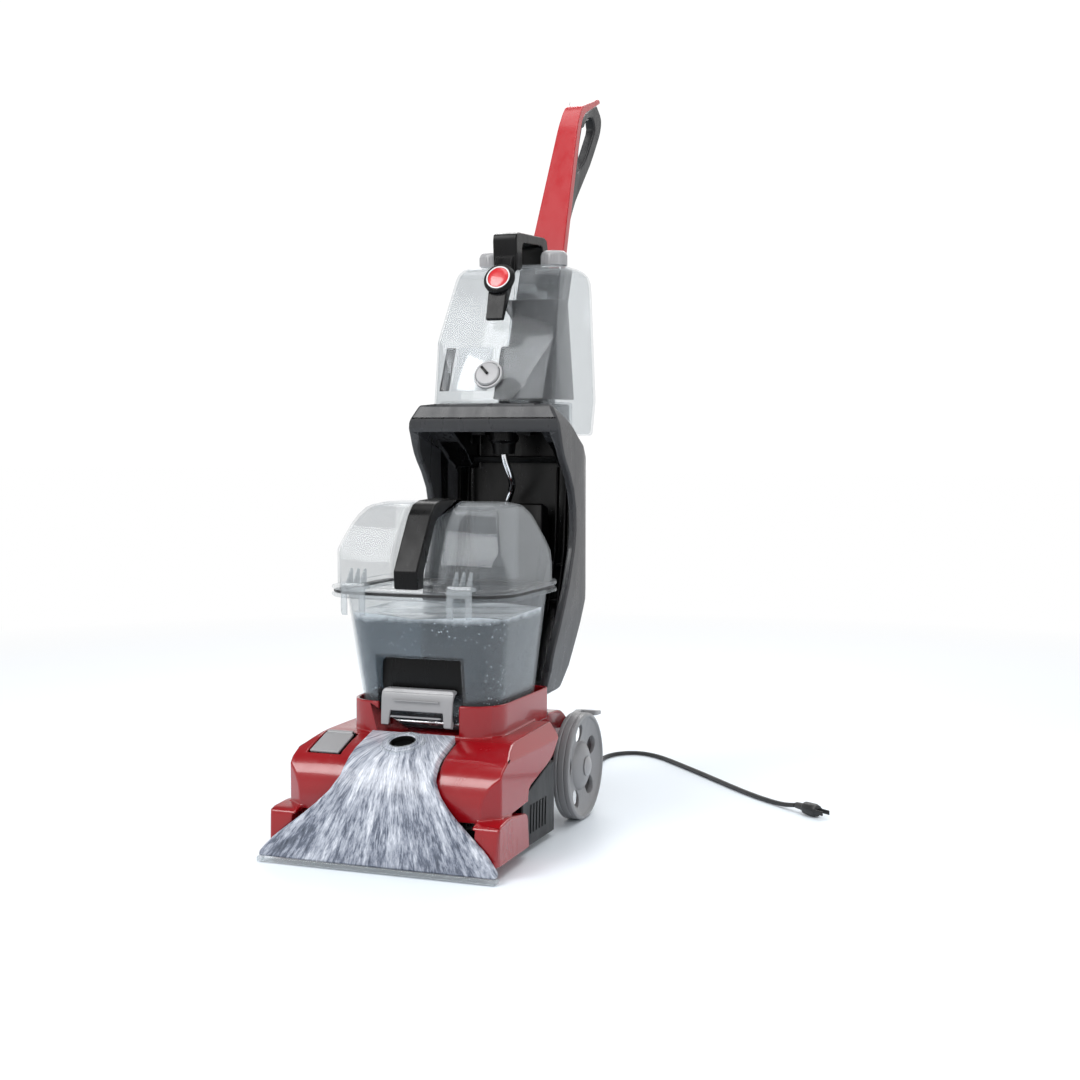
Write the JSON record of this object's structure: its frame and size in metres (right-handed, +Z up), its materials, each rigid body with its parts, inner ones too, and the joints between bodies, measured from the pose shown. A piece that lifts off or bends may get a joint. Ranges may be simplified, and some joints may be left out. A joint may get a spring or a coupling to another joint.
{
  "type": "upright carpet washer",
  "caption": "Upright carpet washer with a wheeled base, spinning brushes, clear nozzle, lift-off recovery and clean-water tanks and a reclining handle.",
  "frame": {"origin": "on the floor, under the middle of the machine's own box, the free cord left out", "axes": "+Z up, -Y towards the nozzle at the front, +X towards the right wheel as seen from the front"},
  "size_m": [0.6459, 0.8636, 1.1088],
  "materials": {
    "red_shell": "deep red gloss moulding",
    "charcoal": "dark grey satin moulding",
    "black_plastic": "black satin moulding",
    "silver_plastic": "mid grey satin moulding",
    "clear_plastic": "clear polished moulding",
    "rubber": "soft black",
    "steel": "plain steel",
    "brush_blue": "coloured bristle and hub"
  },
  "bodies": {
    "base": {"base_cover": "red_shell", "hose_port_well": "black_plastic", "chassis": "charcoal", "axle": "steel", "brush_block": "black_plastic", "motor_housing": "steel", "drive_belt": "rubber", "lever_pin": "steel", "lever_spring": "steel", "power_pedal_pin": "steel", "handle_release_pedal_pin": "steel", "column_pivot": "steel", "pivot_bracket": "charcoal", "strain_relief": "rubber", "cord_lead": "rubber", "cord_coil": "rubber", "cord_run": "rubber", "cord_plug": "rubber"},
    "port_door": {"hose_port_door": "silver_plastic"},
    "right_wheel": {"wheel_right": "silver_plastic", "wheel_cap_right": "steel"},
    "left_wheel": {"wheel_left": "silver_plastic", "wheel_cap_left": "steel"},
    "motor": {"motor_rotor": "steel"},
    "brush_one": {"brush_1": "brush_blue"},
    "brush_two": {"brush_2": "brush_blue"},
    "brush_three": {"brush_3": "brush_blue"},
    "brush_four": {"brush_4": "brush_blue"},
    "brush_five": {"brush_5": "brush_blue"},
    "nozzle": {"nozzle_window": "clear_plastic", "nozzle_lip": "silver_plastic"},
    "tank_lever": {"tank_release_lever": "silver_plastic"},
    "power_switch": {"power_pedal": "silver_plastic"},
    "recline_release": {"handle_release_pedal": "silver_plastic"},
    "recovery_tank": {"recovery_bucket": "clear_plastic", "air_standpipe": "clear_plastic"},
    "tank_float": {"float": "black_plastic"},
    "tank_lid": {"recovery_lid": "clear_plastic", "lid_handle": "black_plastic", "lid_gasket": "rubber", "lid_clip_left": "clear_plastic", "lid_clip_right": "clear_plastic"},
    "column": {"column_shell": "charcoal", "bay_duct": "black_plastic", "tank_seat_valve": "black_plastic", "solution_tube": "clear_plastic", "handle_spine": "charcoal", "handle_shell": "red_shell", "handle_grip": "charcoal", "cord_hook_lower": "black_plastic"},
    "trigger_lever": {"trigger": "black_plastic"},
    "upper_hook": {"cord_hook_upper": "black_plastic"},
    "clean_tank": {"clean_tank_shell": "clear_plastic", "outlet_valve": "black_plastic", "clean_tank_handle": "black_plastic", "badge_plate": "red_shell"},
    "fill_closure": {"fill_cap": "silver_plastic"},
    "vent_closure": {"vent_cap": "silver_plastic"},
    "dial": {"mix_dial": "silver_plastic"}
  },
  "joints": [
    {"name": "column_recline", "type": "hinge", "parent": "base", "child": "column", "pos_m": [0, -0.0562, 0.122], "axis": [-1, 0, 0], "range_deg": [0, 45]},
    {"name": "right_wheel_spin", "type": "hinge", "parent": "base", "child": "right_wheel", "pos_m": [0.14, -0.0562, 0.076], "axis": [1, 0, 0], "continuous": true},
    {"name": "left_wheel_spin", "type": "hinge", "parent": "base", "child": "left_wheel", "pos_m": [-0.14, -0.0562, 0.076], "axis": [1, 0, 0], "continuous": true},
    {"name": "port_door_hinge", "type": "hinge", "parent": "base", "child": "port_door", "pos_m": [-0.108, -0.3082, 0.15], "axis": [-1, 0, 0], "range_deg": [0, 95]},
    {"name": "motor_spin", "type": "hinge", "parent": "base", "child": "motor", "pos_m": [0, -0.1632, 0.1], "axis": [0, 0, 1], "continuous": true},
    {"name": "nozzle_lift", "type": "slide", "parent": "base", "child": "nozzle", "axis": [0, -0.8, 0.6], "range_m": [0, 0.06]},
    {"name": "tank_lever_pull", "type": "hinge", "parent": "base", "child": "tank_lever", "pos_m": [0, -0.2892, 0.169], "axis": [1, 0, 0], "range_deg": [0, 20], "stiffness_Nm_per_rad": 0.8, "springref_deg": -8.59},
    {"name": "power_pedal_press", "type": "hinge", "parent": "base", "child": "power_switch", "pos_m": [0.115, -0.0192, 0.128], "axis": [-1, 0, 0], "range_deg": [0, 9], "stiffness_Nm_per_rad": 1.2, "springref_deg": -8.59},
    {"name": "recline_pedal_press", "type": "hinge", "parent": "base", "child": "recline_release", "pos_m": [-0.115, -0.0192, 0.128], "axis": [-1, 0, 0], "range_deg": [0, 9], "stiffness_Nm_per_rad": 1.2, "springref_deg": -8.59},
    {"name": "recovery_tank_lift", "type": "slide", "parent": "base", "child": "recovery_tank", "axis": [0, 0, 1], "range_m": [0, 0.14]},
    {"name": "lid_lift", "type": "slide", "parent": "recovery_tank", "child": "tank_lid", "axis": [0, 0, 1], "range_m": [0, 0.06]},
    {"name": "float_rise", "type": "slide", "parent": "recovery_tank", "child": "tank_float", "axis": [0, 0, 1], "range_m": [0, 0.13]},
    {"name": "trigger_squeeze", "type": "hinge", "parent": "column", "child": "trigger_lever", "pos_m": [0, 0.3468, 1.065], "axis": [1, 0, 0], "range_deg": [0, 9], "stiffness_Nm_per_rad": 0.4, "springref_deg": -11.46},
    {"name": "cord_hook_swivel", "type": "hinge", "parent": "column", "child": "upper_hook", "pos_m": [0, 0.1954, 0.78], "axis": [0, 0.9348, -0.3553], "range_deg": [0, 180]},
    {"name": "clean_tank_lift", "type": "slide", "parent": "column", "child": "clean_tank", "axis": [0, 0.3553, 0.9348], "range_m": [0, 0.14]},
    {"name": "fill_cap_twist", "type": "hinge", "parent": "clean_tank", "child": "fill_closure", "pos_m": [0.05, 0.0868, 0.812], "axis": [0, 0, 1], "range_deg": [0, 90]},
    {"name": "vent_cap_twist", "type": "hinge", "parent": "clean_tank", "child": "vent_closure", "pos_m": [-0.05, 0.0868, 0.812], "axis": [0, 0, 1], "range_deg": [0, 90]},
    {"name": "mix_dial_turn", "type": "hinge", "parent": "clean_tank", "child": "dial", "pos_m": [0, -0.0496, 0.634], "axis": [0, -0.9085, 0.4179], "range_deg": [-70, 70]},
    {"name": "brush_one_spin", "type": "hinge", "parent": "base", "child": "brush_one", "pos_m": [-0.096, -0.3462, 0.02], "axis": [0, 0, 1], "continuous": true},
    {"name": "brush_two_spin", "type": "hinge", "parent": "base", "child": "brush_two", "pos_m": [-0.048, -0.3462, 0.02], "axis": [0, 0, 1], "continuous": true},
    {"name": "brush_three_spin", "type": "hinge", "parent": "base", "child": "brush_three", "pos_m": [0, -0.3462, 0.02], "axis": [0, 0, 1], "continuous": true},
    {"name": "brush_four_spin", "type": "hinge", "parent": "base", "child": "brush_four", "pos_m": [0.048, -0.3462, 0.02], "axis": [0, 0, 1], "continuous": true},
    {"name": "brush_five_spin", "type": "hinge", "parent": "base", "child": "brush_five", "pos_m": [0.096, -0.3462, 0.02], "axis": [0, 0, 1], "continuous": true}
  ],
  "couplings": [
    {"joint": "brush_three_spin", "follows": "motor_spin", "ratio": 0.5},
    {"joint": "brush_one_spin", "follows": "motor_spin", "ratio": 0.5},
    {"joint": "brush_five_spin", "follows": "motor_spin", "ratio": 0.5},
    {"joint": "brush_two_spin", "follows": "motor_spin", "ratio": -0.5},
    {"joint": "brush_four_spin", "follows": "motor_spin", "ratio": -0.5}
  ]
}
